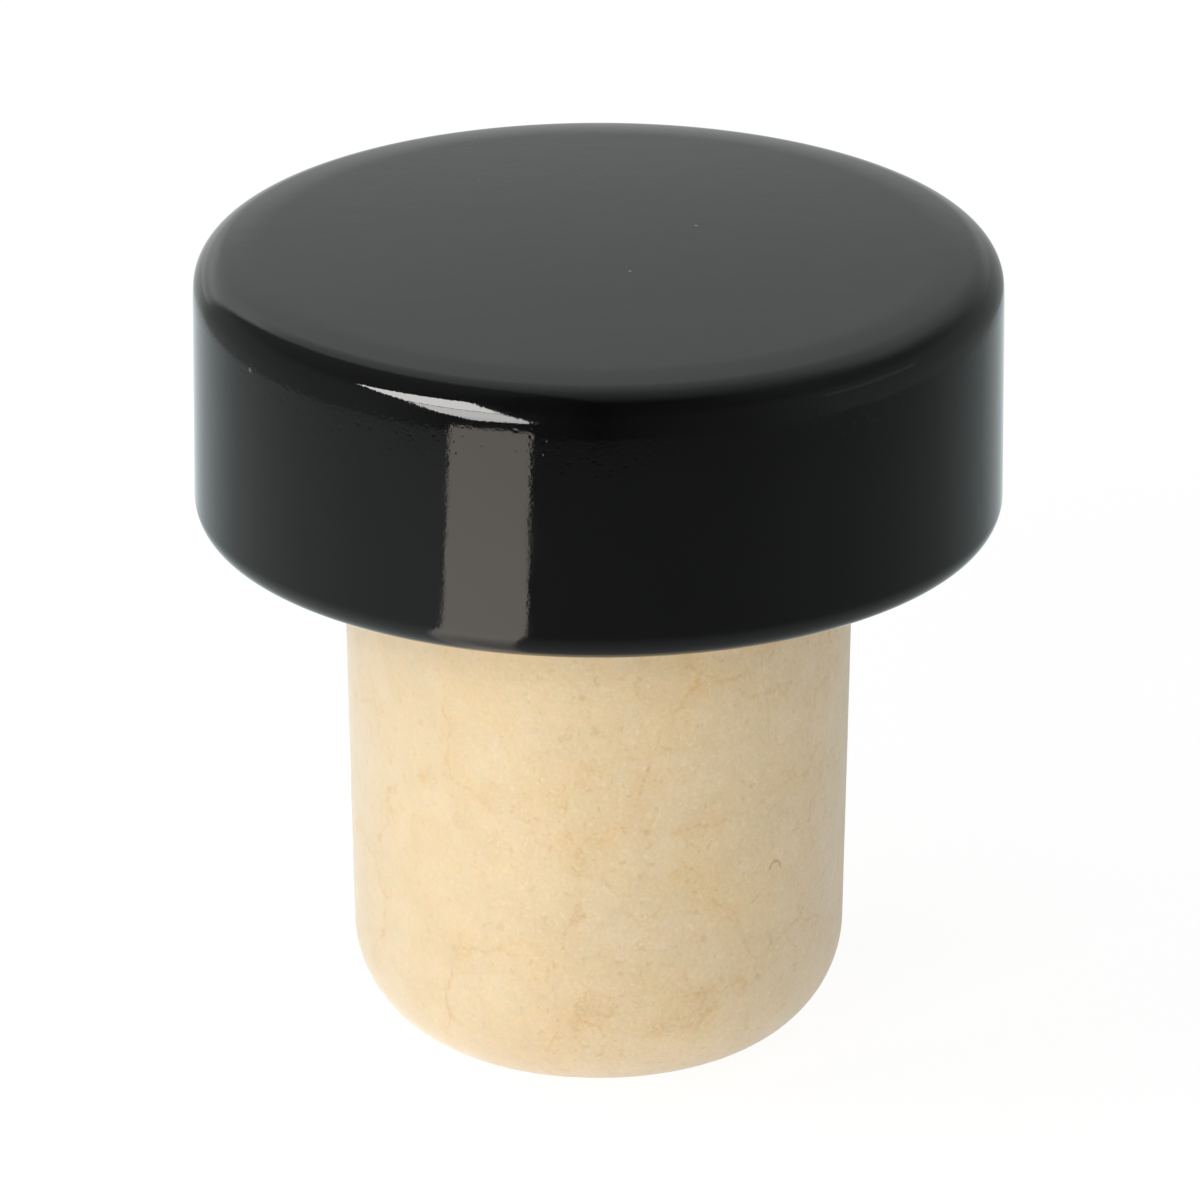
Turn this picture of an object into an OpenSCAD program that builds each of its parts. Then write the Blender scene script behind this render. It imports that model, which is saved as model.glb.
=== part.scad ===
// Bottle stopper of the bar-top kind: a turned, gloss-lacquered head glued onto a
// tapered cork shank. Sizes are in millimetres. The origin is the centre of the
// shank's flat tip, and +Z runs up the stopper's axis to the head.

/* [Head] */
// Diameter of the head
head_d = 30; // [26:0.5:40]
// Height of the head at its middle, from the flat underside to the domed top
head_h = 10.8; // [8:0.1:20]
// Radius of the faint dome of the top
head_dome_r = 450; // [150:10:1500]
// Radius of the rounded edge around the top
head_top_r = 1.4; // [0.2:0.1:2.4]
// Radius of the smaller rounded edge around the underside
head_bottom_r = 1.1; // [0.2:0.1:1.6]

/* [Shank] */
// Diameter of the shank where it leaves the head
shank_d = 19; // [16:0.1:22]
// How much narrower the wall is at the tip than under the head, on the diameter
shank_taper = 0.9; // [0:0.1:2]
// Length of the shank below the head
shank_l = 20.3; // [14:0.1:40]
// Radius that rounds the tapered wall into the flat tip
tip_r = 4.5; // [1:0.1:6.5]

/* [Glue joint] */
// Depth of the blind socket in the underside of the head
socket_depth = 4.5; // [2:0.1:5.5]
// Room for glue around the shank in the socket, on the radius
glue_gap = 0.1; // [0.05:0.01:0.3]

/* [Hidden] */
$fn = 180;
// The dome is a short arc of a large circle, so that circle has more sides
dome_fn = 20 * $fn;
// A round stands proud of the face it blends into by this much, and so cuts it cleanly
blend_overlap = 0.0005;

head_r = head_d / 2;
shank_r = shank_d / 2;
socket_r = shank_r + glue_gap;

// The dome's centre lies on the axis, far below the head
dome_z = head_h - head_dome_r;
// Centre of the top edge's round, which touches both the wall and the dome
top_round_x = head_r - head_top_r;
dome_angle = asin(top_round_x / (head_dome_r - head_top_r));
top_round_z = dome_z + (head_dome_r - head_top_r) * cos(dome_angle) + blend_overlap;
// Point where the round runs into the dome
dome_edge = [head_dome_r * sin(dome_angle), dome_z + head_dome_r * cos(dome_angle)];

// The shank's wall leans in by this angle
lean = atan(shank_taper / 2 / shank_l);
// Centre of the tip's round, which touches both the plane of the tip and the leaning wall
tip_corner_r = shank_r - shank_taper / 2;
tip_round_x = tip_corner_r + tip_r * tan(lean) - tip_r / cos(lean) + blend_overlap;

// Point at a distance from the origin, in a direction in degrees
function polar(distance, direction) = distance * [cos(direction), sin(direction)];

// Slice of a disc between two directions, less than half a turn apart
module disc_slice(r, from, to) {
    middle = (from + to) / 2;
    reach = 2 * r;
    intersection() {
        circle(r);
        polygon([
            [0, 0],
            polar(reach, from),
            polar(reach / cos(middle - from), middle),
            polar(reach, to)
        ]);
    }
}

// Half section of the head's middle, up to the dome and out to where its edge begins
module dome_section() {
    intersection() {
        translate([0, dome_z]) circle(head_dome_r, $fn = dome_fn);
        translate([0, socket_depth]) square([dome_edge.x, head_h]);
    }
}

// Half section of the head, with its underside at zero and the socket left open
module head_section() {
    polygon([
        [0, socket_depth],
        [socket_r, socket_depth],
        [socket_r, 0],
        [head_r - head_bottom_r, 0],
        [head_r, head_bottom_r],
        [head_r, top_round_z],
        dome_edge,
        [0, dome_edge.y]
    ]);
    dome_section();
    translate([top_round_x, top_round_z])
        disc_slice(head_top_r, 0, 120);
    translate([head_r - head_bottom_r, head_bottom_r])
        disc_slice(head_bottom_r, -90, 0);
}

// Half section of the shank, from its tip to the end that is glued into the socket
module shank_section() {
    tip_round = [tip_round_x, tip_r];
    polygon([
        [0, 0],
        [tip_round_x, 0],
        tip_round + polar(tip_r - blend_overlap, -lean),
        [shank_r, shank_l],
        [shank_r, shank_l + socket_depth],
        [0, shank_l + socket_depth]
    ]);
    translate(tip_round)
        disc_slice(tip_r, -90, 0);
}

module head() {
    color("#17181a")
        translate([0, 0, shank_l])
            rotate_extrude()
                head_section();
}

module shank() {
    color("#e6cda2")
        rotate_extrude()
            shank_section();
}

head();
shank();
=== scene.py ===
"""Dresses a bottle stopper: a gloss-black turned head glued onto a tapered cork shank.

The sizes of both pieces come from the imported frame. What the frame doesn't hold, such as the rounds,
the finishes and the studio, is set in the property groups. Lengths are in metres.
"""

import math

import bmesh
import bpy
from bpy.props import FloatProperty, FloatVectorProperty, IntProperty, PointerProperty
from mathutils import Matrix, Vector, noise


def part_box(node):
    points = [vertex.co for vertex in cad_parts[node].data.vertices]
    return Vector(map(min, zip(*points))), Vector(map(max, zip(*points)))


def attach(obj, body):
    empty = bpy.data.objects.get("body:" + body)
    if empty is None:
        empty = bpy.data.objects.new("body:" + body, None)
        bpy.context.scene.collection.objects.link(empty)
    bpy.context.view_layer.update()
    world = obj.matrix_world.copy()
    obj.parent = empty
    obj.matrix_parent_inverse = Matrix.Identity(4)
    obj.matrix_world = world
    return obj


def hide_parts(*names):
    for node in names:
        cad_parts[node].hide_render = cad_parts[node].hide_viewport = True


bl_info = {
    "name": "Bottle Stopper",
    "version": (1, 0, 0),
    "blender": (4, 5, 0),
    "location": "3D View > Sidebar > Stopper",
    "description": "Makes a lacquered head, a cork shank and a plain studio around the packed stopper",
    "category": "Object",
}

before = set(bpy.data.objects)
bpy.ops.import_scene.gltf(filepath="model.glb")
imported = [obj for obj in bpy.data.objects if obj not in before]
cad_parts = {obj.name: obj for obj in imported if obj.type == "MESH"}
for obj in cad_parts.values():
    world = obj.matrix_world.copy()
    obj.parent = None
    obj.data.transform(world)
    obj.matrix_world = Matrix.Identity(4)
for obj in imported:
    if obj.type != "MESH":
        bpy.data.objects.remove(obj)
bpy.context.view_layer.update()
HEAD_LOW, HEAD_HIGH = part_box("head")
SHANK_LOW, SHANK_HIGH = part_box("shank")

MM = 0.001
BODY = "root"


# Settings


class HeadSettings(bpy.types.PropertyGroup):
    """Sizes and finish of the turned head."""

    diameter: FloatProperty(
        name="Diameter",
        description="Diameter of the head",
        default=HEAD_HIGH.x - HEAD_LOW.x,
        unit="LENGTH",
    )
    underside: FloatProperty(
        name="Underside",
        description="Height of the flat underside above the table",
        default=HEAD_LOW.z,
        unit="LENGTH",
    )
    top: FloatProperty(
        name="Top",
        description="Height of the middle of the top above the table",
        default=HEAD_HIGH.z,
        unit="LENGTH",
    )
    dome_radius: FloatProperty(
        name="Dome radius",
        description="Radius of the faint dome of the top",
        default=450 * MM,
        unit="LENGTH",
    )
    top_round: FloatProperty(
        name="Top round",
        description="Radius of the rounded edge around the top",
        default=1.3 * MM,
        unit="LENGTH",
    )
    ease_radius: FloatProperty(
        name="Ease radius",
        description="Radius with which the lacquer eases the dome into the rounded edge",
        default=14 * MM,
        unit="LENGTH",
    )
    ease_slope: FloatProperty(
        name="Ease slope",
        description="Slope of the top where the easing ends and the rounded edge begins",
        default=math.radians(7.5),
        subtype="ANGLE",
    )
    side_radius: FloatProperty(
        name="Side radius",
        description="Radius with which the lacquer eases the wall into the rounded edge",
        default=8 * MM,
        unit="LENGTH",
    )
    side_slope: FloatProperty(
        name="Side slope",
        description="Lean of the wall where its easing ends and the rounded edge begins",
        default=math.radians(4),
        subtype="ANGLE",
    )
    bottom_round: FloatProperty(
        name="Bottom round",
        description="Radius of the rounded edge around the underside",
        default=1.1 * MM,
        unit="LENGTH",
    )
    glue_gap: FloatProperty(
        name="Glue gap",
        description="Room around the shank in the socket, on the radius",
        default=0.1 * MM,
        unit="LENGTH",
    )
    segments: IntProperty(
        name="Segments",
        description="Number of sides of the turned mesh",
        default=360,
        min=12,
    )
    lacquer_colour: FloatVectorProperty(
        name="Lacquer",
        description="Colour of the black lacquer",
        default=(0.002, 0.002, 0.002),
        subtype="COLOR",
    )
    peel_depth: FloatProperty(
        name="Peel depth",
        description="Height of the soft ripples that spraying leaves in the lacquer",
        default=0.004 * MM,
        unit="LENGTH",
    )


class ShankSettings(bpy.types.PropertyGroup):
    """Sizes and finish of the cork shank."""

    diameter: FloatProperty(
        name="Diameter",
        description="Diameter of the shank where it leaves the head",
        default=SHANK_HIGH.x - SHANK_LOW.x,
        unit="LENGTH",
    )
    taper: FloatProperty(
        name="Taper",
        description="How much narrower the wall is at the tip than under the head, on the diameter",
        default=0.9 * MM,
        unit="LENGTH",
    )
    tip: FloatProperty(
        name="Tip",
        description="Height of the flat tip above the table",
        default=SHANK_LOW.z,
        unit="LENGTH",
    )
    glued_end: FloatProperty(
        name="Glued end",
        description="Height of the end that is glued into the head",
        default=SHANK_HIGH.z,
        unit="LENGTH",
    )
    tip_round: FloatProperty(
        name="Tip round",
        description="Radius that rounds the tapered wall into the flat tip",
        default=4.5 * MM,
        unit="LENGTH",
    )
    segments: IntProperty(
        name="Segments",
        description="Number of sides of the turned mesh",
        default=320,
        min=12,
    )
    relief: FloatProperty(
        name="Relief",
        description="Depth of the grain that shows in the cork's surface",
        default=0.02 * MM,
        unit="LENGTH",
    )
    cork_colour: FloatVectorProperty(
        name="Cork",
        description="Main colour of the cork",
        default=(0.841, 0.672, 0.417),
        subtype="COLOR",
    )


class StageSettings(bpy.types.PropertyGroup):
    """Camera, floor and light."""

    camera_distance: FloatProperty(
        name="Camera distance",
        description="Distance from the camera to the point that it looks at",
        default=600 * MM,
        unit="LENGTH",
    )
    camera_elevation: FloatProperty(
        name="Camera elevation",
        description="Angle at which the camera looks down",
        default=math.radians(21.61),
        subtype="ANGLE",
    )
    aim_height: FloatProperty(
        name="Aim height",
        description="Height on the stopper's axis that the camera looks at",
        default=16.97 * MM,
        unit="LENGTH",
    )
    aim_side: FloatProperty(
        name="Aim side",
        description="How far right of the axis the camera looks",
        default=0.052 * MM,
        unit="LENGTH",
    )
    lens_share: FloatProperty(
        name="Lens share",
        description="Focal length of the camera as a share of the picture's width",
        default=13.43,
    )
    floor_size: FloatProperty(
        name="Floor size",
        description="Width of the square floor",
        default=6.0,
        unit="LENGTH",
    )
    floor_colour: FloatVectorProperty(
        name="Floor",
        description="Colour of the floor as it lights the stopper from below",
        default=(0.78, 0.78, 0.78),
        subtype="COLOR",
    )
    floor_glow: FloatProperty(
        name="Floor glow",
        description="Share of the floor's white that shadows leave as it is",
        default=0.90,
        subtype="FACTOR",
    )
    floor_lift: FloatProperty(
        name="Floor lift",
        description="Light that comes up through the floor onto the stopper, where white is 1",
        default=0.40,
    )
    floor_shade: FloatProperty(
        name="Floor shade",
        description="Share of the floor's white that shadows take away",
        default=0.17,
        subtype="FACTOR",
    )
    key_power: FloatProperty(
        name="Key power",
        description="Power of the lamp at the front, in watts",
        default=1.26,
    )
    side_power: FloatProperty(
        name="Side power",
        description="Power of the lamp at the left, in watts",
        default=0.88,
    )
    rim_power: FloatProperty(
        name="Rim power",
        description="Power of the weak lamp behind at the right, in watts",
        default=0.38,
    )
    window_level: FloatProperty(
        name="Window level",
        description="Brightness of the window that the lacquer mirrors at the front left, where white is 1",
        default=14.0,
    )


# Directions and colours


def direction_to(bearing, elevation):
    """Direction by bearing and elevation in degrees. The camera is at bearing 0, and left is negative."""
    around = math.radians(bearing)
    rise = math.radians(elevation)
    return Vector(
        (math.sin(around) * math.cos(rise), -math.cos(around) * math.cos(rise), math.sin(rise))
    )


def grey(level):
    """A colour without hue."""
    return (level, level, level)


def tinted(colour, tint):
    """A colour times a tint."""
    return tuple(part * share for part, share in zip(colour, tint))


# Mesh

# A point of an outline that is nearer to the axis than this lies on it
ON_AXIS = 0.001 * MM
# Two points of an outline that are nearer than this are one
SAME_POINT = 0.0001 * MM
# An outline that turns by more than this has a sharp edge there
SHARP_TURN = math.radians(30)
# Grain that is pressed into the cork: how close it lies, where a pit begins, and the share of the swells
SWELLS_PER_MM = 0.9
PITS_PER_MM = 2.6
PIT_START = 0.45
SWELL_SHARE = 0.35


def arc(centre, radius, start, end, steps):
    """Points of an arc between two directions in degrees, as (distance from the axis, height)."""
    points = []
    for step in range(steps + 1):
        angle = math.radians(start + (end - start) * step / steps)
        points.append((centre[0] + radius * math.cos(angle), centre[1] + radius * math.sin(angle)))
    return points


def straight(start, end, steps):
    """Evenly spaced points of a straight stretch."""
    return [
        tuple(a + (b - a) * step / steps for a, b in zip(start, end)) for step in range(steps + 1)
    ]


def outline_of(stretches):
    """One outline from stretches that follow each other, without the points that they share."""
    outline = []
    for stretch in stretches:
        for point in stretch:
            if not outline or math.dist(point, outline[-1]) > SAME_POINT:
                outline.append(point)
    return outline


def turned_mesh(name, outline, segments):
    """Closed mesh that an outline sweeps around the axis, with sharp edges at the outline's corners."""
    mesh = bmesh.new()
    rings = []
    for radius, height in outline:
        if radius < ON_AXIS:
            rings.append([mesh.verts.new((0, 0, height))])
            continue
        ring = []
        for segment in range(segments):
            angle = 2 * math.pi * segment / segments
            ring.append(mesh.verts.new((radius * math.cos(angle), radius * math.sin(angle), height)))
        rings.append(ring)
    for below, above in zip(rings, rings[1:]):
        for segment in range(segments):
            following = (segment + 1) % segments
            if len(below) == 1:
                face = [below[0], above[following], above[segment]]
            elif len(above) == 1:
                face = [below[segment], below[following], above[0]]
            else:
                face = [below[segment], below[following], above[following], above[segment]]
            mesh.faces.new(face).smooth = True
    for before, here, after, ring in zip(outline, outline[1:], outline[2:], rings[1:]):
        arriving = Vector(here) - Vector(before)
        leaving = Vector(after) - Vector(here)
        if arriving.angle(leaving) > SHARP_TURN and len(ring) > 1:
            for segment, vertex in enumerate(ring):
                mesh.edges.get((vertex, ring[(segment + 1) % segments])).smooth = False
    bmesh.ops.recalc_face_normals(mesh, faces=mesh.faces)
    data = bpy.data.meshes.new(name)
    mesh.to_mesh(data)
    mesh.free()
    return data


def head_outline(head, shank):
    """Half section of the head, from the floor of its socket around to the middle of its top."""
    radius = head.diameter / 2
    socket = shank.diameter / 2 + head.glue_gap
    # The round touches both easings, the upper easing touches the dome, and the lower one the wall
    side_reach = head.side_radius - head.top_round
    round_x = radius - head.side_radius + side_reach * math.cos(head.side_slope)
    reach = head.ease_radius - head.top_round
    ease_x = round_x - reach * math.sin(head.ease_slope)
    dome_slope = math.asin(ease_x / (head.dome_radius - head.ease_radius))
    dome_z = head.top - head.dome_radius
    ease_z = dome_z + (head.dome_radius - head.ease_radius) * math.cos(dome_slope)
    round_z = ease_z + reach * math.cos(head.ease_slope)
    wall_top = round_z - side_reach * math.sin(head.side_slope)
    side_end = math.degrees(head.side_slope)
    ease_end = 90 - math.degrees(head.ease_slope)
    dome_end = 90 - math.degrees(dome_slope)
    bottom_centre = (radius - head.bottom_round, head.underside + head.bottom_round)
    return outline_of(
        [
            straight((0, shank.glued_end), (socket, shank.glued_end), steps=4),
            straight((socket, shank.glued_end), (socket, head.underside), steps=4),
            straight((socket, head.underside), (bottom_centre[0], head.underside), steps=8),
            arc(bottom_centre, head.bottom_round, -90, 0, steps=20),
            straight((radius, bottom_centre[1]), (radius, wall_top), steps=24),
            arc((radius - head.side_radius, wall_top), head.side_radius, 0, side_end, steps=12),
            arc((round_x, round_z), head.top_round, side_end, ease_end, steps=28),
            arc((ease_x, ease_z), head.ease_radius, ease_end, dome_end, steps=12),
            arc((0, dome_z), head.dome_radius, dome_end, 90, steps=40),
        ]
    )


def shank_outline(head, shank):
    """Half section of the shank, from the middle of its tip to the end that is glued into the head."""
    radius = shank.diameter / 2
    lean = math.atan(shank.taper / 2 / (head.underside - shank.tip))
    corner = radius - shank.taper / 2
    centre = (
        corner + shank.tip_round * (math.tan(lean) - 1 / math.cos(lean)),
        shank.tip + shank.tip_round,
    )
    tip_arc = arc(centre, shank.tip_round, -90, -math.degrees(lean), steps=48)
    return outline_of(
        [
            straight((0, shank.tip), (centre[0], shank.tip), steps=24),
            tip_arc,
            straight(tip_arc[-1], (radius, head.underside), steps=110),
            straight((radius, head.underside), (radius, shank.glued_end), steps=4),
            straight((radius, shank.glued_end), (0, shank.glued_end), steps=4),
        ]
    )


def press_grain(data, depth, below):
    """Presses grain into the cork below a height: low swells, and small pits where granules fell out."""
    data.update()
    moves = []
    for vertex in data.vertices:
        place = vertex.co / MM
        swell = 0.5 + 0.5 * noise.fractal(place * SWELLS_PER_MM, 1.0, 2.0, 3)
        pit = max(0.0, noise.noise(place * PITS_PER_MM) - PIT_START) / (1 - PIT_START)
        share = SWELL_SHARE * swell + (1 - SWELL_SHARE) * pit
        moves.append(vertex.normal * -depth * share)
    for vertex, move in zip(data.vertices, moves):
        if vertex.co.z < below:
            vertex.co += move
    data.update()


# Nodes


class Wiring:
    """Adds nodes to a material or a world, and links them as they are added."""

    def __init__(self, owner):
        owner.use_nodes = True
        self.tree = owner.node_tree
        self.tree.nodes.clear()

    def add(self, kind, inputs=None, **settings):
        """A node with its settings, and its inputs linked to sockets or set to values."""
        made = self.tree.nodes.new(kind)
        for name, value in settings.items():
            setattr(made, name, value)
        for socket, value in (inputs or {}).items():
            if isinstance(value, bpy.types.NodeSocket):
                self.tree.links.new(value, made.inputs[socket])
            else:
                made.inputs[socket].default_value = value
        return made

    def math(self, operation, *values, clamp=False):
        """The result of an operation on values or sockets."""
        made = self.add("ShaderNodeMath", dict(enumerate(values)), operation=operation)
        made.use_clamp = clamp
        return made.outputs[0]

    def fade(self, value, low, high, to_low=0.0, to_high=1.0):
        """A value that eases from one level to another as the input goes from low to high."""
        inputs = {"Value": value, 1: low, 2: high, 3: to_low, 4: to_high}
        return self.add("ShaderNodeMapRange", inputs, interpolation_type="SMOOTHSTEP").outputs[0]

    def ramp(self, value, stops):
        """A colour ramp of (place, colour) stops."""
        made = self.add("ShaderNodeValToRGB", {"Fac": value})
        elements = made.color_ramp.elements
        while len(elements) < len(stops):
            elements.new(1.0)
        for element, (place, colour) in zip(elements, stops):
            element.position = place
            element.color = (*colour, 1.0)
        return made.outputs["Color"]

    def levels(self, value, stops):
        """A grey ramp of (place, level) stops."""
        return self.ramp(value, [(place, grey(level)) for place, level in stops])

    def mix(self, factor, low, high, blend="MIX"):
        """A colour between two colours, or one blended over the other."""
        inputs = {0: factor, 6: low, 7: high}
        for socket, value in inputs.items():
            if isinstance(value, tuple) and len(value) == 3:
                inputs[socket] = (*value, 1.0)
        return self.add("ShaderNodeMix", inputs, data_type="RGBA", blend_type=blend).outputs[2]

    def stain(self, share, ground, tint):
        """The ground colour, times a tint where the share is 1."""
        return self.mix(share, ground, self.mix(1.0, ground, tint, "MULTIPLY"))

    def band(self, value, middle, core, edge):
        """A soft line where the value is near its middle."""
        offset = self.math("ABSOLUTE", self.math("SUBTRACT", value, middle))
        return self.fade(offset, core, edge, 1.0, 0.0)

    def noise(self, place, grain, detail=2.0, roughness=0.5, distortion=0.0):
        """Noise whose features are about one grain apart."""
        inputs = {
            "Vector": place,
            "Scale": 1 / grain,
            "Detail": detail,
            "Roughness": roughness,
            "Distortion": distortion,
        }
        return self.add("ShaderNodeTexNoise", inputs).outputs[0]

    def cells(self, place, size, feature="F1"):
        """Irregular cells of about one size."""
        inputs = {"Vector": place, "Scale": 1 / size}
        return self.add("ShaderNodeTexVoronoi", inputs, feature=feature)

    def around(self, side, back):
        """Bearing as a share of the turn from the back, by the left, the front and the right."""
        bearing = self.math("ARCTAN2", side, self.math("MULTIPLY", back, -1.0))
        return self.math("MULTIPLY_ADD", bearing, 0.5 / math.pi, 0.5)

    def right_of(self, side, back, bearing):
        """Distance to the right of the line on the floor that leaves the axis at a bearing in degrees."""
        angle = math.radians(bearing)
        along = self.math("MULTIPLY", back, math.sin(angle))
        return self.math("MULTIPLY_ADD", side, math.cos(angle), along)

    def spot(self, place, centre, radius):
        """A small soft round spot."""
        offset = self.add("ShaderNodeVectorMath", {0: place, 1: centre}, operation="DISTANCE")
        return self.fade(offset.outputs["Value"], 0.4 * radius, radius, 1.0, 0.0)

    def place(self):
        """Place on the object, in metres."""
        return self.add("ShaderNodeTexCoord").outputs["Object"]

    def length(self, vector):
        """Length of a vector."""
        made = self.add("ShaderNodeVectorMath", {0: vector}, operation="LENGTH")
        return made.outputs["Value"]

    def split(self, vector):
        """The three parts of a vector."""
        return self.add("ShaderNodeSeparateXYZ", {0: vector}).outputs

    def finish(self, shader, kind="ShaderNodeOutputMaterial"):
        """Shows a shader as the surface."""
        self.add(kind, {"Surface": shader})


# Finishes

# Lacquer: widths of its ripples, of its haze, and of the shifts in its black
RIPPLE_WIDTH = 1.3 * MM
FINE_WIDTH = 0.14 * MM
HAZE_WIDTH = 2.2 * MM
BLACK_WIDTH = 4 * MM
# How far below the middle of the top the fine ripples and the pits begin and are full, and the pits fade
FINE_BAND = (4.5 * MM, 1.9 * MM)
PIT_BAND = (4.2 * MM, 2.2 * MM)
PIT_END = (1.8 * MM, 1.5 * MM)
PIT_SPACING = 0.4 * MM
PIT_DEPTH_SHARE = 0.9
# Dust on the lacquer, and the two specks that have a place of their own
DUST_SPACING = 3.4 * MM
DUST_COLOUR = (0.22, 0.215, 0.21)
TOP_SPECK = Vector((1.15 * MM, -2.83 * MM, 0))
TOP_SPECK_RADIUS = 0.09 * MM
SIDE_SPECK_BEARING = -58
SIDE_SPECK_DROP = 1.95 * MM
SIDE_SPECK_RADIUS = 0.13 * MM
SIDE_SPECK_SHARE = 0.35

# Cork: widths of its mottling, clouds, shifts of hue, grain, flecks and marks
MOTTLE_WIDTH = 5 * MM
CLOUD_WIDTH = 1.3 * MM
HUE_WIDTH = 0.3 * MM
BLUSH_WIDTH = 0.5 * MM
GRAIN_WIDTH = 0.15 * MM
FLECK_WIDTH = 0.18 * MM
MARK_WIDTH = 0.34 * MM
# Sizes of the granules and of the lumps that seams divide, and how far their outlines wander
GRANULE_SIZE = 1.5 * MM
LUMP_SIZE = 6.5 * MM
WANDER = 1.6 * MM
# Widths of the breaks in the seams, and of the warm spots beside them
BREAK_WIDTH = 2.1 * MM
WARM_WIDTH = 0.7 * MM
# Places across the stopper between which the cork's marks go from faint to full: painted light, the faint
# marks on the left stand in for the bright lamps washing them out
LIT_SIDE_CALM_REACH = (-8 * MM, 1 * MM)
CORK_BUMP = 0.03 * MM
# The curl in the cork: bearing, height, depth of its centre below the surface, and radius
CURL_BEARING = 45
CURL_HEIGHT = 8.9 * MM
CURL_DEPTH = 0.24 * MM
CURL_RADIUS = 0.27 * MM


def lacquer_ripples(wiring, head, place):
    """Height of the sprayed surface: soft ripples, with finer ones and small pits high on the wall."""
    height = wiring.split(place)[2]
    ripple = wiring.noise(place, RIPPLE_WIDTH, detail=1.0)
    fine = wiring.noise(place, FINE_WIDTH, detail=1.0)
    fine_low, fine_full = (head.top - drop for drop in FINE_BAND)
    fine_share = wiring.fade(height, fine_low, fine_full, 0.30, 0.52)
    peel = wiring.math("MULTIPLY_ADD", fine, fine_share, ripple)
    pit_low, pit_full = (head.top - drop for drop in PIT_BAND)
    pit_last, pit_end = (head.top - drop for drop in PIT_END)
    pitted = wiring.fade(height, pit_low, pit_full)
    under_edge = wiring.fade(height, pit_last, pit_end, 1.0, 0.0)
    pits = wiring.fade(wiring.cells(place, PIT_SPACING).outputs["Distance"], 0.02, 0.30, 1.0, 0.0)
    pits = wiring.math("MULTIPLY", pits, wiring.math("MULTIPLY", pitted, under_edge))
    return wiring.math("MULTIPLY_ADD", pits, -PIT_DEPTH_SHARE, peel)


def lacquer_dust(wiring, head, place):
    """Share of dust: specks all over, one on the top and one on the side."""
    dust = wiring.cells(place, DUST_SPACING)
    speck = wiring.fade(dust.outputs["Distance"], 0.012, 0.028, 1.0, 0.0)
    on_top = TOP_SPECK + Vector((0, 0, head.top))
    on_side = head.diameter / 2 * direction_to(SIDE_SPECK_BEARING, 0)
    on_side.z = head.top - SIDE_SPECK_DROP
    for centre, radius, share in (
        (on_top, TOP_SPECK_RADIUS, 1.0),
        (on_side, SIDE_SPECK_RADIUS, SIDE_SPECK_SHARE),
    ):
        spot = wiring.math("MULTIPLY", wiring.spot(place, centre, radius), share)
        speck = wiring.math("MAXIMUM", speck, spot)
    return speck


def lacquer_material(head):
    """Sprayed black lacquer: a near mirror with soft ripples, and specks of dust."""
    material = bpy.data.materials.new("black_lacquer")
    wiring = Wiring(material)
    place = wiring.place()
    peel = lacquer_ripples(wiring, head, place)
    bump = wiring.add("ShaderNodeBump", {"Height": peel, "Strength": 1.0, "Distance": head.peel_depth})
    haze = wiring.noise(place, HAZE_WIDTH, detail=2.0, roughness=0.6)
    speck = lacquer_dust(wiring, head, place)
    depth = wiring.noise(place, BLACK_WIDTH, detail=1.0)
    colour = head.lacquer_colour
    ground = wiring.mix(depth, tinted(colour, grey(0.7)), tinted(colour, grey(1.3)))
    shader = wiring.add(
        "ShaderNodeBsdfPrincipled",
        {
            "Base Color": wiring.mix(speck, ground, DUST_COLOUR),
            "Roughness": wiring.fade(haze, 0.3, 0.7, 0.035, 0.075),
            "IOR": 1.5,
            "Normal": bump.outputs["Normal"],
        },
    )
    wiring.finish(shader.outputs[0])
    return material


def cork_tone(wiring, place, clouds, colour):
    """Wide mottling of the cork, its clouds, and its shifts of hue."""
    mottle = wiring.noise(place, MOTTLE_WIDTH, detail=2.0)
    warm = tinted(colour, (1.02, 0.995, 0.95))
    cool = tinted(colour, (0.99, 1.0, 1.04))
    ground = wiring.ramp(mottle, [(0.3, warm), (0.5, tuple(colour)), (0.7, cool)])
    ground = wiring.stain(wiring.fade(clouds, 0.34, 0.66), ground, (0.965, 0.957, 0.935))
    hue = wiring.noise(place, HUE_WIDTH, detail=2.0)
    ground = wiring.stain(wiring.fade(hue, 0.3, 0.7), ground, (0.985, 1.0, 1.075))
    blush = wiring.noise(place, BLUSH_WIDTH, detail=2.0)
    return wiring.stain(wiring.fade(blush, 0.3, 0.7), ground, (1.018, 0.975, 0.975))


def cork_grain(wiring, place, grain, lit_side_calm, colour, ground):
    """Fine grain over the cork, with pale flecks and darker marks."""
    # Painted light: the darker grain, the pale flecks and the dark marks are fainter on the brightly lit
    # left side
    darker = wiring.math("MULTIPLY", wiring.fade(grain, 0.3, 0.7), lit_side_calm)
    ground = wiring.stain(darker, ground, (0.955, 0.94, 0.895))
    flecks = wiring.noise(place, FLECK_WIDTH, detail=1.0, distortion=0.6)
    pale = wiring.math("MULTIPLY", wiring.fade(flecks, 0.58, 0.74, 0.0, 0.6), lit_side_calm)
    ground = wiring.mix(pale, ground, tinted(colour, (1.07, 1.08, 1.13)))
    marks = wiring.noise(place, MARK_WIDTH, detail=2.0, distortion=0.5)
    dark = wiring.math("MULTIPLY", wiring.fade(marks, 0.60, 0.72), lit_side_calm)
    return wiring.stain(dark, ground, (0.91, 0.88, 0.82))


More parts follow.
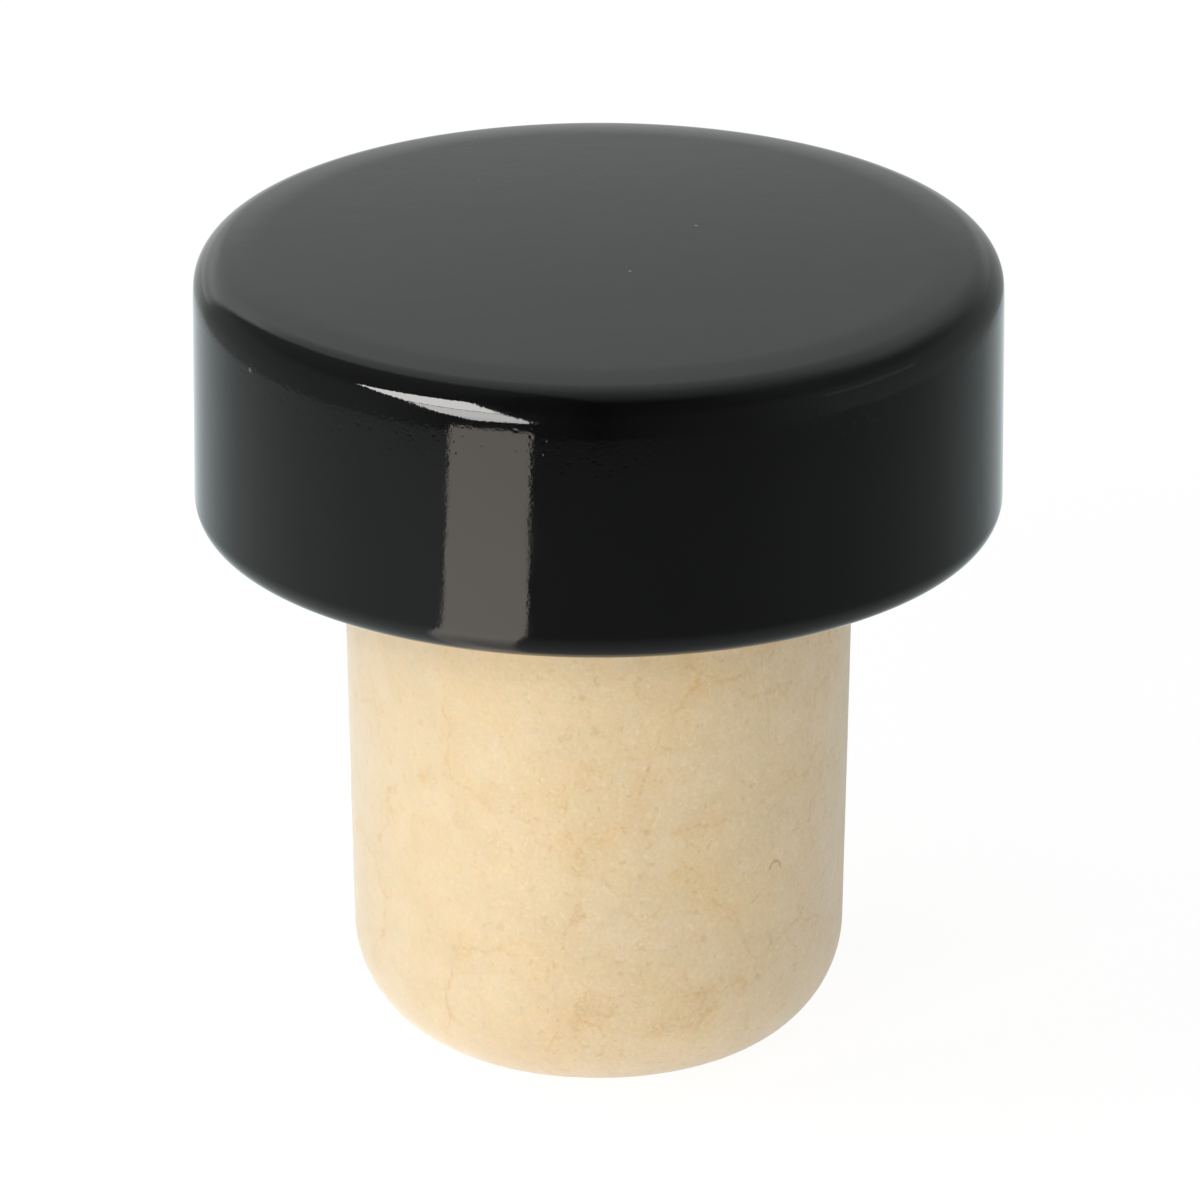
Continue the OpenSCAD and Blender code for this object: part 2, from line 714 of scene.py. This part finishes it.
def cork_granules(wiring, place, grain, lit_side_calm, ground):
    """Granules of slightly different tone with faint rims, and broken brown seams between lumps of them."""
    wander = wiring.add("ShaderNodeTexNoise", {"Vector": place, "Scale": 1 / WANDER, "Detail": 2.0})
    drift = wiring.add(
        "ShaderNodeVectorMath",
        {0: wander.outputs["Color"], 1: (WANDER, WANDER, WANDER), 2: place},
        operation="MULTIPLY_ADD",
    ).outputs[0]
    granules = wiring.cells(drift, GRANULE_SIZE).outputs["Color"]
    tone = wiring.fade(wiring.split(granules)[0], 0.1, 0.9)
    ground = wiring.stain(tone, ground, (0.991, 0.978, 0.94))
    rims = wiring.cells(drift, GRANULE_SIZE, "DISTANCE_TO_EDGE").outputs["Distance"]
    # Painted light: the faint rims are fainter still on the brightly lit left side
    rim = wiring.math("MULTIPLY", wiring.fade(rims, 0.0, 0.08, 0.5, 0.0), lit_side_calm)
    ground = wiring.stain(rim, ground, (0.965, 0.945, 0.90))
    lumps = wiring.cells(drift, LUMP_SIZE, "DISTANCE_TO_EDGE").outputs["Distance"]
    breaks = wiring.noise(place, BREAK_WIDTH, detail=3.0, roughness=0.6)
    broken = wiring.fade(breaks, 0.38, 0.56)
    halo = wiring.math("MULTIPLY", wiring.fade(lumps, 0.0, 0.14, 1.0, 0.0), broken)
    ground = wiring.stain(halo, ground, (0.99, 0.97, 0.93))
    seam = wiring.math("MULTIPLY", wiring.fade(lumps, 0.002, 0.018, 0.7, 0.0), broken)
    seam = wiring.math("MULTIPLY", seam, wiring.fade(grain, 0.35, 0.6, 0.3, 1.0))
    ground = wiring.stain(seam, ground, (0.91, 0.855, 0.76))
    warm = wiring.fade(wiring.noise(place, WARM_WIDTH, detail=2.0), 0.58, 0.68)
    return wiring.stain(wiring.math("MULTIPLY", warm, halo), ground, (0.985, 0.92, 0.80))


def cork_material(shank):
    """Fine moulded cork: granules of slightly different beige, fine grain, and broken brown seams."""
    material = bpy.data.materials.new("fine_cork")
    wiring = Wiring(material)
    place = wiring.place()
    colour = shank.cork_colour
    clouds = wiring.noise(place, CLOUD_WIDTH, detail=4.0, roughness=0.62)
    grain = wiring.noise(place, GRAIN_WIDTH, detail=2.0, roughness=0.6)
    # Painted light: the marks are fainter on the left, where the lamps fall brightest, as if the light
    # washed them out
    lit_side_calm = wiring.fade(wiring.split(place)[0], *LIT_SIDE_CALM_REACH, 0.45, 1.0)
    ground = cork_tone(wiring, place, clouds, colour)
    ground = cork_grain(wiring, place, grain, lit_side_calm, colour, ground)
    ground = cork_granules(wiring, place, grain, lit_side_calm, ground)
    ground = wiring.stain(curl_mark(wiring, shank, place), ground, (0.72, 0.68, 0.60))
    grain_height = wiring.math("MULTIPLY_ADD", grain, 0.5, clouds)
    bump = wiring.add("ShaderNodeBump", {"Height": grain_height, "Strength": 0.5, "Distance": CORK_BUMP})
    shader = wiring.add(
        "ShaderNodeBsdfPrincipled",
        {
            "Base Color": ground,
            "Roughness": wiring.fade(grain, 0.3, 0.7, 0.45, 0.62),
            "IOR": 1.45,
            "Sheen Weight": 0.6,
            "Sheen Roughness": 0.5,
            "Normal": bump.outputs["Normal"],
        },
    )
    wiring.finish(shader.outputs[0])
    return material


def curl_mark(wiring, shank, place):
    """One small dark curl in the cork, low on its right side: the upper part of a ring."""
    centre = (shank.diameter / 2 - CURL_DEPTH) * direction_to(CURL_BEARING, 0)
    centre.z = CURL_HEIGHT
    offset = wiring.add("ShaderNodeVectorMath", {0: place, 1: centre}, operation="SUBTRACT").outputs[0]
    ring = wiring.band(wiring.length(offset), CURL_RADIUS, 0.02 * MM, 0.07 * MM)
    upper = wiring.fade(wiring.split(offset)[2], -0.08 * MM, 0.04 * MM)
    return wiring.math("MULTIPLY", ring, upper)


# Floor and light

# Distances from the axis between which the soft shadow on the floor ends
SHADOW_REACH = (50 * MM, 250 * MM)
# Level of the sky, on the half circle that runs from the back, over the top, to the front
SKY_STOPS = [
    (0.00, 0.95),
    (0.08, 0.72),
    (0.11, 0.58),
    (0.15, 0.55),
    (0.20, 0.66),
    (0.30, 0.68),
    (0.34, 0.69),
    (0.385, 0.64),
    (0.425, 0.52),
    (0.465, 0.45),
    (0.50, 0.38),
    (0.545, 0.29),
    (0.585, 0.20),
    (0.63, 0.08),
    (0.668, 0.035),
    (1.00, 0.03),
]
# Levels of the horizon and of the paper, from the back, by the left, the front and the right
HORIZON_STOPS = [
    (0.00, 0.95),
    (0.05, 0.80),
    (0.095, 0.64),
    (0.12, 0.33),
    (0.22, 0.29),
    (0.33, 0.24),
    (0.39, 0.13),
    (0.46, 0.08),
    (0.50, 0.03),
    (0.53, 0.07),
    (0.61, 0.15),
    (0.69, 0.30),
    (0.88, 0.31),
    (0.95, 0.52),
    (1.00, 0.95),
]
PAPER_STOPS = [
    (0.00, 0.97),
    (0.06, 0.90),
    (0.11, 0.70),
    (0.18, 0.52),
    (0.39, 0.45),
    (0.40, 0.17),
    (0.55, 0.165),
    (0.60, 0.175),
    (0.78, 0.28),
    (0.86, 0.40),
    (0.94, 0.76),
    (1.00, 0.97),
]
# Tints of what the lacquer mirrors, of the window, and of the paper behind the stopper
COOL = (0.955, 1.0, 0.985)
WARM = (1.0, 0.985, 0.96)
PAPER_BEHIND = (1.03, 1.10, 1.14)
# Distances from the axis between which the paper's inner glow fades, the paper dims, and the paper ends
PAPER_GLOW = (20 * MM, 64 * MM)
PAPER_DIM = (74 * MM, 92 * MM)
PAPER_END = (88 * MM, 94 * MM)
# The window's light on the paper: bearings of its two sides in degrees, and how far right of them it fades
PATCH_LEFT = -36.8
PATCH_LEFT_EDGE = (-4.7 * MM, -3.3 * MM)
PATCH_RIGHT = -15.5
PATCH_RIGHT_EDGE = (-3.7 * MM, -2.3 * MM)
# Distances from the axis between which this light grows, turns from its inner to its outer colour, and ends
PATCH_NEAR = (14 * MM, 44 * MM)
PATCH_TURN = (66 * MM, 90 * MM)
PATCH_FAR = (103 * MM, 112 * MM)
PATCH_INNER = (2.71, 2.50, 2.28)
PATCH_OUTER = (2.44, 2.26, 2.06)


def glow_material(name, level, colour=(1.0, 1.0, 1.0)):
    """A surface that shines evenly."""
    material = bpy.data.materials.new(name)
    wiring = Wiring(material)
    shine = wiring.add("ShaderNodeEmission", {"Color": (*colour, 1.0), "Strength": level})
    wiring.finish(shine.outputs[0])
    material.cycles.emission_sampling = "NONE"
    return material


def floor_material(stage):
    """White floor: it throws light up as a pale floor does, and looks white but for a soft shadow."""
    material = bpy.data.materials.new("white_floor")
    wiring = Wiring(material)
    rays = wiring.add("ShaderNodeLightPath").outputs
    seen = wiring.math("MAXIMUM", rays["Is Camera Ray"], rays["Is Glossy Ray"])
    seen = wiring.math("MAXIMUM", seen, rays["Is Transmission Ray"])
    pale = wiring.add("ShaderNodeBsdfDiffuse", {"Color": (*stage.floor_colour, 1.0)})
    lift = wiring.add("ShaderNodeEmission", {"Strength": stage.floor_lift})
    plain = wiring.add("ShaderNodeAddShader", {0: pale.outputs[0], 1: lift.outputs[0]})
    shadowed = wiring.add("ShaderNodeBsdfDiffuse", {"Color": (*grey(stage.floor_shade), 1.0)})
    glow = wiring.fade(wiring.length(wiring.place()), *SHADOW_REACH, stage.floor_glow, 1.0)
    white = wiring.add("ShaderNodeEmission", {"Strength": glow})
    bright = wiring.add("ShaderNodeAddShader", {0: shadowed.outputs[0], 1: white.outputs[0]})
    shown = wiring.add("ShaderNodeMixShader", {0: seen, 1: plain.outputs[0], 2: bright.outputs[0]})
    wiring.finish(shown.outputs[0])
    material.cycles.emission_sampling = "NONE"
    return material


def window_patch(wiring, side, back, distance):
    """Share of the window's light on the paper: a patch between two lines, which is weak under the head."""
    left = wiring.fade(wiring.right_of(side, back, PATCH_LEFT), *PATCH_LEFT_EDGE)
    right = wiring.fade(wiring.right_of(side, back, PATCH_RIGHT), *PATCH_RIGHT_EDGE, 1.0, 0.0)
    patch = wiring.math("MULTIPLY", left, right)
    patch = wiring.math("MULTIPLY", patch, wiring.fade(distance, *PATCH_FAR, 1.0, 0.0))
    return wiring.math("MULTIPLY", patch, wiring.fade(distance, *PATCH_NEAR, 0.2, 1.0))


def surround_material():
    """What the lacquer mirrors of the floor: paper with window light on it, and what lies beyond."""
    material = bpy.data.materials.new("surround")
    wiring = Wiring(material)
    place = wiring.place()
    side, back, _ = wiring.split(place)
    around = wiring.around(side, back)
    distance = wiring.length(place)
    paper = wiring.levels(around, PAPER_STOPS)
    paper = wiring.mix(1.0, paper, wiring.fade(distance, *PAPER_GLOW, 0.2, 0.0), "ADD")
    paper = wiring.mix(1.0, paper, wiring.fade(distance, *PAPER_DIM, 1.0, 0.85), "MULTIPLY")
    behind = wiring.fade(wiring.math("ABSOLUTE", wiring.math("SUBTRACT", around, 0.5)), 0.24, 0.46)
    paper = wiring.stain(behind, paper, PAPER_BEHIND)
    beyond = wiring.fade(distance, *PAPER_END)
    level = wiring.mix(beyond, paper, wiring.levels(around, HORIZON_STOPS))
    level = wiring.mix(1.0, level, COOL, "MULTIPLY")
    patch = window_patch(wiring, side, back, distance)
    patch_level = wiring.mix(wiring.fade(distance, *PATCH_TURN), PATCH_INNER, PATCH_OUTER)
    shine = wiring.add("ShaderNodeEmission", {"Color": wiring.mix(patch, level, patch_level)})
    wiring.finish(shine.outputs[0])
    material.cycles.emission_sampling = "NONE"
    return material


# Studio

# Lamps: bearings and elevations in degrees from the middle of the head
KEY_DIRECTION = (-25, 18)
SIDE_DIRECTION = (-80, 36)
RIM_DIRECTION = (128, 14)
LAMP_DISTANCE = 0.5
LAMP_SIZE = 0.35
# Cards around the stopper: corners by bearing and elevation in degrees from the middle of the head
WINDOW_UPPER = [(-73, 25), (-40, 38), (-26, 14.5), (-54, 13.5)]
WINDOW_LOWER = [(-53, 12.5), (-26, 13.5), (-18, -3.2), (-44, -3.2)]
WALL_STRIPE = [(64, 3), (97, 3), (97, 9), (64, 9)]
CARD_DISTANCE = 0.5
LOWER_PANE_SHARE = 0.8
STRIPE_LEVEL = 0.45
# Bright stretch of the floor towards the window: corners by bearing in degrees and distance in millimetres
WINDOW_FAR = [(-44, 500), (-33, 150), (-18, 200), (-18, 500)]
WINDOW_FAR_LEVEL = 10.0
# Heights of the cards that lie on the floor
SURROUND_LIFT = 0.2 * MM
WINDOW_FAR_LIFT = 0.5 * MM


def make_world():
    """Soft light: a bright sky behind and above, and a darker room. The camera sees white."""
    world = bpy.data.worlds.new("studio")
    bpy.context.scene.world = world
    wiring = Wiring(world)
    direction = wiring.add("ShaderNodeTexCoord").outputs["Generated"]
    side, back, up = wiring.split(direction)
    turn = wiring.math("ARCTAN2", wiring.math("ABSOLUTE", up), back)
    sky = wiring.levels(wiring.math("DIVIDE", turn, math.pi, clamp=True), SKY_STOPS)
    # The low sky is brighter towards the left, and a little darker towards the right
    low_side = wiring.math("MULTIPLY", side, wiring.band(up, 0.41, 0.12, 0.30))
    gain = wiring.fade(side, -0.1, 0.1, -1.4, -0.5)
    sky = wiring.mix(1.0, sky, wiring.math("MULTIPLY_ADD", low_side, gain, 1.0), "MULTIPLY")
    room = wiring.levels(wiring.around(side, back), HORIZON_STOPS)
    room = wiring.mix(1.0, room, wiring.fade(up, 0.2, 0.5, 1.0, 0.68), "MULTIPLY")
    # The sky ends in a steep, sharp edge at the left, and in a slanting, soft one at the right
    right = wiring.fade(side, -0.2, 0.2)
    lean = wiring.math("MULTIPLY_ADD", right, 0.47, 0.08)
    reach = wiring.math("MULTIPLY_ADD", right, -0.09, 0.47)
    edge = wiring.math("MULTIPLY_ADD", up, lean, wiring.math("MULTIPLY", back, reach))
    edge = wiring.math("MULTIPLY_ADD", wiring.math("ABSOLUTE", side), -0.55, edge)
    edge = wiring.math("MULTIPLY_ADD", wiring.fade(up, 0.0, 0.35, -0.3, 0.0), right, edge)
    start = wiring.math("MULTIPLY_ADD", right, -0.09, -0.01)
    end = wiring.math("MULTIPLY_ADD", right, 0.27, 0.08)
    seen = wiring.mix(wiring.fade(edge, start, end), room, sky)
    seen = wiring.mix(1.0, seen, COOL, "MULTIPLY")
    rays = wiring.add("ShaderNodeLightPath").outputs
    shown = wiring.mix(rays["Is Camera Ray"], seen, grey(1.0))
    light = wiring.add("ShaderNodeBackground", {"Color": shown, "Strength": 1.0})
    wiring.finish(light.outputs[0], "ShaderNodeOutputWorld")


def stage_object(name, points, material):
    """A flat object of the studio, which isn't part of the stopper."""
    data = bpy.data.meshes.new(name)
    data.from_pydata(points, [], [tuple(range(len(points)))])
    data.materials.append(material)
    made = bpy.data.objects.new(name, data)
    bpy.context.scene.collection.objects.link(made)
    return made


def floor_corners(size, lift=0.0):
    """Corners of a square around the axis."""
    half = size / 2
    return [(-half, -half, lift), (half, -half, lift), (half, half, lift), (-half, half, lift)]


def make_floor(stage):
    """The floor that the stopper stands on."""
    stage_object("floor", floor_corners(stage.floor_size), floor_material(stage))


def make_lamp(name, centre, direction, power):
    """A round lamp that lights the stopper from a bearing and an elevation, and that no surface mirrors."""
    data = bpy.data.lights.new(name, "AREA")
    data.shape = "DISK"
    data.size = LAMP_SIZE
    data.energy = power
    lamp = bpy.data.objects.new(name, data)
    bpy.context.scene.collection.objects.link(lamp)
    outward = direction_to(*direction)
    lamp.location = centre + LAMP_DISTANCE * outward
    lamp.rotation_euler = (-outward).to_track_quat("-Z", "Y").to_euler()
    lamp.visible_glossy = False
    lamp.visible_camera = False


def make_card(name, points, material):
    """A shining card that shows only in the gloss of the stopper."""
    card = stage_object(name, points, material)
    card.visible_camera = False
    card.visible_diffuse = False
    card.visible_transmission = False
    card.visible_volume_scatter = False
    card.visible_shadow = False


def on_floor(corners, lift):
    """Points over the floor, from bearings in degrees and distances in millimetres from the axis."""
    points = []
    for bearing, distance in corners:
        points.append(distance * MM * direction_to(bearing, 0) + Vector((0, 0, lift)))
    return points


def make_mirrored(stage, centre):
    """What the lacquer mirrors: a window in two panes, a stripe at the right, and the floor around."""
    for name, corners, level, tint in (
        ("window_upper", WINDOW_UPPER, stage.window_level, WARM),
        ("window_lower", WINDOW_LOWER, LOWER_PANE_SHARE * stage.window_level, WARM),
        ("wall_stripe", WALL_STRIPE, STRIPE_LEVEL, COOL),
    ):
        points = [centre + CARD_DISTANCE * direction_to(*corner) for corner in corners]
        make_card(name, points, glow_material(name, level, tint))
    make_card("surround", floor_corners(stage.floor_size, SURROUND_LIFT), surround_material())
    window_far = glow_material("window_far", WINDOW_FAR_LEVEL)
    make_card("window_far", on_floor(WINDOW_FAR, WINDOW_FAR_LIFT), window_far)


def make_camera(stage):
    """The camera at the front, which looks down at the stopper."""
    data = bpy.data.cameras.new("camera")
    camera = bpy.data.objects.new("camera", data)
    bpy.context.scene.collection.objects.link(camera)
    aim = Vector((stage.aim_side, 0, stage.aim_height))
    back = direction_to(0, math.degrees(stage.camera_elevation))
    camera.location = aim + stage.camera_distance * back
    camera.rotation_euler = (-back).to_track_quat("-Z", "Y").to_euler()
    data.lens = stage.lens_share * data.sensor_width
    data.clip_start = 0.01
    data.clip_end = 10.0
    bpy.context.scene.camera = camera


# Operators


def add_piece(data, node, material):
    """Adds a piece that stands for a node of the frame."""
    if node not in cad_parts:
        raise RuntimeError(f"the frame has no node named {node}")
    data.materials.append(material)
    piece = bpy.data.objects.new(f"{node}_finish", data)
    bpy.context.scene.collection.objects.link(piece)
    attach(piece, BODY)
    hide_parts(node)


class StopperMakeHead(bpy.types.Operator):
    """Turn the head and lacquer it"""

    bl_idname = "stopper.make_head"
    bl_label = "Make head"

    def execute(self, context):
        head = context.scene.stopper_head
        outline = head_outline(head, context.scene.stopper_shank)
        data = turned_mesh("head_finish", outline, head.segments)
        add_piece(data, "head", lacquer_material(head))
        return {"FINISHED"}


class StopperMakeShank(bpy.types.Operator):
    """Mould the cork shank"""

    bl_idname = "stopper.make_shank"
    bl_label = "Make shank"

    def execute(self, context):
        head = context.scene.stopper_head
        shank = context.scene.stopper_shank
        data = turned_mesh("shank_finish", shank_outline(head, shank), shank.segments)
        press_grain(data, shank.relief, head.underside)
        add_piece(data, "shank", cork_material(shank))
        return {"FINISHED"}


class StopperMakeStage(bpy.types.Operator):
    """Set up the floor, the light and the camera"""

    bl_idname = "stopper.make_stage"
    bl_label = "Make stage"

    def execute(self, context):
        stage = context.scene.stopper_stage
        head = context.scene.stopper_head
        context.scene.view_settings.view_transform = "Standard"
        make_world()
        make_floor(stage)
        make_camera(stage)
        centre = Vector((0, 0, (head.underside + head.top) / 2))
        make_lamp("key", centre, KEY_DIRECTION, stage.key_power)
        make_lamp("side", centre, SIDE_DIRECTION, stage.side_power)
        make_lamp("rim", centre, RIM_DIRECTION, stage.rim_power)
        make_mirrored(stage, centre)
        return {"FINISHED"}


class StopperPanel(bpy.types.Panel):
    """Buttons for the pieces and the stage"""

    bl_idname = "VIEW3D_PT_stopper"
    bl_label = "Stopper"
    bl_space_type = "VIEW_3D"
    bl_region_type = "UI"
    bl_category = "Stopper"

    def draw(self, context):
        for settings, operator in (
            (context.scene.stopper_head, StopperMakeHead),
            (context.scene.stopper_shank, StopperMakeShank),
            (context.scene.stopper_stage, StopperMakeStage),
        ):
            box = self.layout.box()
            for name in settings.__annotations__:
                box.prop(settings, name)
            box.operator(operator.bl_idname)


SETTINGS = {
    "stopper_head": HeadSettings,
    "stopper_shank": ShankSettings,
    "stopper_stage": StageSettings,
}
CLASSES = (*SETTINGS.values(), StopperMakeHead, StopperMakeShank, StopperMakeStage, StopperPanel)


def register():
    """Registers the classes and adds the settings to the scene."""
    for made in CLASSES:
        bpy.utils.register_class(made)
    for name, settings in SETTINGS.items():
        setattr(bpy.types.Scene, name, PointerProperty(type=settings))


def unregister():
    """Takes the settings and the classes away."""
    for name in SETTINGS:
        delattr(bpy.types.Scene, name)
    for made in reversed(CLASSES):
        bpy.utils.unregister_class(made)


def main():
    """Makes the stopper and its stage."""
    register()
    bpy.ops.stopper.make_head()
    bpy.ops.stopper.make_shank()
    bpy.ops.stopper.make_stage()


if __name__ == "__main__":
    main()
